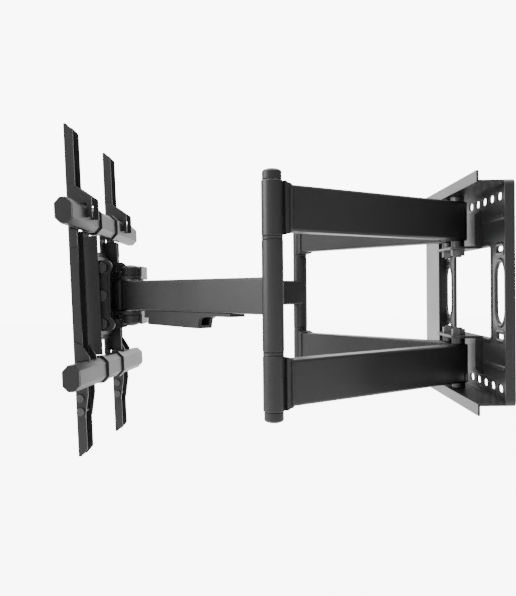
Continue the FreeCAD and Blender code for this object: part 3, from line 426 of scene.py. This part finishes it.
def dome(radius, low, high, rim):
    """Half section of a cap: a chamfered foot, a skirt, a shoulder arc, and a dome whose
    height falls with the square of the radius until it meets the shoulder."""
    foot = [(0, low), (radius - cap_foot, low), (radius, low + cap_foot)]
    shoulder = arc((radius - rim, high - rim - cap_crown), rim, 0, 62, 7)
    edge_r, edge_z = shoulder[-1]
    across_top = np.linspace(edge_r, 0, 10)[1:]
    top = [(r, high - (high - edge_z) * (r / edge_r) ** 2) for r in across_top]
    return foot + shoulder + top


def collar(outer, low, high):
    """Half section of a ring with one shallow groove, whose depth is
    groove_deep (0.5 - 0.5 cos(2 pi t)) ^ 3 as t goes from 0 to 1 up the side."""
    height = np.linspace(low + 0.25, high - 0.25, 13)
    depth = groove_deep * (0.5 - 0.5 * np.cos(2 * np.pi * np.linspace(0, 1, height.size))) ** 3
    side = [(outer - d, h) for d, h in zip(depth, height)]
    inner, edge = outer - ring_wall, outer - ring_edge
    return [(inner, low), (edge, low)] + side + [(edge, high), (inner, high), (inner, low)]


for w in elbows:
    at_elbow = arms[w] @ moved(link_len, 0, 0)
    both = [at_elbow, at_elbow @ upside_down]
    section = dome(cap_r, boss_top, cap_high, shoulder_r)
    caps = piece(f"arm_{w}_domes", [(placed(lathe(section), m), False, True) for m in both],
                 f"arm_{w}")
    dress(caps, finishes["black_plastic"])
    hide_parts(f"arm_{w}_caps")
    section = collar(ring_r, ring_top - ring_tall, ring_top)
    rings = piece(f"elbow_{w}_collars", [(placed(lathe(section), m), False, True) for m in both],
                  f"forearm_{w}")
    dress(rings, finishes["black_plastic"])
    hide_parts(f"elbow_{w}_rings")

# %% [markdown]
# ## Head pins
# The head hangs on two pins whose ends are covered by tall round plastic caps. Each pin
# is one section from pole to pole: a dome, a
# skirt that widens a little towards its foot, the thin shank between the ears, and the
# same again upside down. The open pivot's shank is thinner, as in the CAD.

# %% Turn the head pins
ear_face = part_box("yoke_upper")[0].z / MM + ear_t
pin_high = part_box("head_pin_right")[1].z / MM
pin_slack = {"right": 0.0, "left": 0.3}
knob_r, knob_top_r, knob_shoulder, knob_crown = 12.0, 11.3, 4.5, 1.1


def pin_section(shank):
    """Half section of a capped pin, from the lower pole to the upper one."""
    skirt = [(shank, ear_face), (knob_r - 0.4, ear_face), (knob_r, ear_face + 0.5),
             (knob_r - 0.3, ear_face + 3.0)]
    middle = (knob_top_r - knob_shoulder, pin_high - knob_shoulder - knob_crown)
    shoulder = arc(middle, knob_shoulder, 0, 58, 9)
    edge_r, edge_z = shoulder[-1]
    across_top = np.linspace(edge_r, 0, 12)[1:]
    crown = [(r, pin_high - (pin_high - edge_z) * (r / edge_r) ** 2) for r in across_top]
    upper = skirt + shoulder + crown
    return [(r, -z) for r, z in reversed(upper)] + upper


for w, slack in pin_slack.items():
    grid = placed(lathe(pin_section(pin_r - slack)), moved(*head_pins[w]))
    pins = piece(f"head_pin_{w}_caps", [(grid, False, True)], "yoke", sharp=50)
    dress(pins, finishes["black_plastic"])
    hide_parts(f"head_pin_{w}")

# %% [markdown]
# ## Weld seams
# Tube and boss are joined by a bead laid by a robot: a raised seam with small even
# ripples, under the powder coat. A displacement map would vanish at this size, so the
# seam is real geometry: a half ellipse carried round the tube's own outline and
# swelled once for every two millimetres.

# %% Carry the beads round the tubes
arm_low, arm_high = [corner.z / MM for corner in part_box("arm_right_upper_beam")]
arm_mid, arm_tall = (arm_low + arm_high) / 2, arm_high - arm_low
arm_wide, tube_corner = 24.0, 3.3
stand_up = turned("Y", 90)
weld_half, weld_high, weld_ripple, weld_pitch = 1.7, 1.5, 0.16, 2.0
weld_out = 0.6


def tube_seam(wide, tall, x, z):
    """A rippled bead round a tube of that section, in the link's axes."""
    loop = rounded_loop(tall + weld_out, wide + weld_out, tube_corner, steps=10, side=24)
    seam = bead(loop, weld_half, weld_high, weld_ripple, weld_pitch)
    return placed(seam, moved(x, 0, z) @ stand_up)


for w in elbows:
    boss_x = link_len - post_r - boss_gap
    seams = [placed(tube_seam(arm_wide, arm_tall, boss_x, side * arm_mid), arms[w])
             for side in (1, -1)]
    welds = piece(f"arm_{w}_welds", [(grid, True, True) for grid in seams], f"arm_{w}",
                  sharp=80)
    dress(welds, finishes["powder_black"])

# %% [markdown]
# ## Pressed rims in the wall plate
# The plate is stiffened where it is cut: the press turns a low rim round each opening.
# A rim is the same carried profile as a weld, without ripples and wider than it is
# high, lying on the plate's front face.

# %% Lay the rims round the openings
plate_t, rim_sunk = 2.5, 0.1
rim_half, rim_high = 2.6, 1.5
against_plate = turned("X", 90)


def rim_round(x, z, wide, tall, corner):
    """A smooth low bead round an opening centred on x, z, on the plate's front face."""
    loop = rounded_loop(wide, tall, corner, steps=16, side=12)
    return placed(bead(loop, rim_half, rim_high), moved(x, rim_sunk - plate_t, z) @ against_plate)


window = (190, 118, 8)
side_window = (40, 78, 19.9)
short_slot = (31, 11, 5.4)
side_x, short_slot_z = 131, 52
openings = [(0, 0, *window)]
for side in (1, -1):
    openings.append((side * side_x, 0, *side_window))
    for row in (1, -1):
        openings.append((side * side_x, row * short_slot_z, *short_slot))
rims = piece("wall_plate_rims", [(rim_round(*opening), True, True) for opening in openings],
             "wall", sharp=80)
dress(rims, finishes["powder_black"])

# %% [markdown]
# ## Stage, light and camera
# The mount hangs on a wall that isn't part of it, over a plain pale floor. Black coat
# shows almost nothing of its own colour, only what it reflects, so the light is mostly
# in the surroundings: bright on the far side and above, dim behind the camera. The
# camera's place was worked out from the plate and arms' own measurements, and its lens
# is 47.7 mm on a 36 mm frame.

# To the camera the floor is nine parts of the backdrop's own brightness to one of paint,
# so there is no horizon, and what little shadow falls on it is still there. Every other
# ray meets plain paint.

# %% Floor
BACKDROP = 9.0
floor_z, floor_half = -0.62, 14.0
ends = np.array([-floor_half, floor_half])
floor_mesh = bpy.data.meshes.new("floor")
floor_mesh.from_pydata([(x, y, floor_z) for x in ends for y in ends], [], [(0, 2, 3, 1)])
floor = bpy.data.objects.new("floor", floor_mesh)
bpy.context.scene.collection.objects.link(floor)
floor_paint = Finish("floor_paint", Roughness=0.9)
floor_shade = floor_paint.blend(floor_paint.noise(3), grey(0.86, 1.0), grey(0.90, 1.0))
floor_paint.feed("Base Color", floor_shade)
haze = floor_paint.node("Emission", None, {"Strength": BACKDROP})
looked_at = floor_paint.node("LightPath", output="Is Camera Ray")
cover = floor_paint.tree.nodes.new("ShaderNodeMixShader")
floor_out = floor_paint.tree.nodes["Material Output"]
floor_paint.tree.links.new((looked_at * 0.9).socket, cover.inputs["Fac"])
floor_paint.tree.links.new(floor_paint.surface.outputs[0], cover.inputs[1])
floor_paint.tree.links.new(haze.socket, cover.inputs[2])
floor_paint.tree.links.new(cover.outputs[0], floor_out.inputs["Surface"])
floor.data.materials.append(floor_paint.material)

# %% [markdown]
# The room's brightness is a sum over directions: each term is how far a direction leans
# to one side. The camera doesn't see it, and gets the even backdrop instead.

# %% Surroundings
room = bpy.data.worlds.new("room")
bpy.context.scene.world = room
room.use_nodes = True
sky = Nodes(room.node_tree)
sky.tree.nodes.clear()
way = sky.node("TexCoord", output="Generated")
x, y, z = (sky.node("SeparateXYZ", None, {0: way}, axis) for axis in range(3))
near_side = x.above_zero()
far_side = (0 - x).above_zero()
open_side = (0 - y).above_zero()
above = z.above_zero()
below = (0 - z).above_zero()
sides = 0.10 + far_side * 0.55 + near_side * 0.30 + open_side * 0.85
glow = sides + above * above * 1.5 + below * 0.3
seen = sky.node("LightPath", output="Is Camera Ray")
strength = glow * (1 - seen) + seen * BACKDROP
light = sky.node("Background", None, {"Color": (1, 1, 1, 1), "Strength": strength})
out = sky.tree.nodes.new("ShaderNodeOutputWorld")
sky.tree.links.new(light.socket, out.inputs["Surface"])

# %% [markdown]
# Three large square lights add the long soft highlights along the tubes: one above, one
# on the screen's side and a weak one behind.

# %% Soft lights
def soft_light(name, place, target, width, power):
    """A square area light at a place, aimed at a target."""
    data = bpy.data.lights.new(name, "AREA")
    data.shape, data.size, data.energy = "SQUARE", width, power
    lamp = bpy.data.objects.new(name, data)
    lamp.location = place
    lamp.rotation_euler = (Vector(target) - Vector(place)).to_track_quat("-Z", "Y").to_euler()
    bpy.context.scene.collection.objects.link(lamp)


middle = (0.0, -0.28, 0.0)
soft_light("overhead", (-0.3, -0.35, 1.9), middle, 1.6, 60)
soft_light("open_side", (0.4, -2.2, 0.7), middle, 1.4, 36)
soft_light("far_side", (-2.0, -0.6, 0.3), middle, 1.8, 14)

# %% [markdown]
# The camera looks along the wall, turned by three small angles from the X axis. Its own
# axes are the columns of its matrix: right, up, and back along the line of sight.

# %% Camera
eye = (1.067, -0.279, 0.009)
yaw, pitch, roll = np.radians([-0.61, -0.76, -0.59])
forward = np.array([-np.cos(yaw) * np.cos(pitch), np.sin(yaw) * np.cos(pitch), np.sin(pitch)])
side = np.cross(forward, (0, 0, 1))
side /= np.linalg.norm(side)
up = np.cross(side, forward)
right = side * np.cos(roll) + up * np.sin(roll)
top = up * np.cos(roll) - side * np.sin(roll)
pose = np.eye(4)
pose[:3, 0], pose[:3, 1], pose[:3, 2], pose[:3, 3] = right, top, -forward, eye
lens = bpy.data.cameras.new("camera")
lens.lens, lens.sensor_width, lens.clip_start = 47.7, 36.0, 0.01
camera = bpy.data.objects.new("camera", lens)
bpy.context.scene.collection.objects.link(camera)
camera.matrix_world = Matrix(pose.tolist())
bpy.context.scene.camera = camera
print("camera at", camera.location[:])
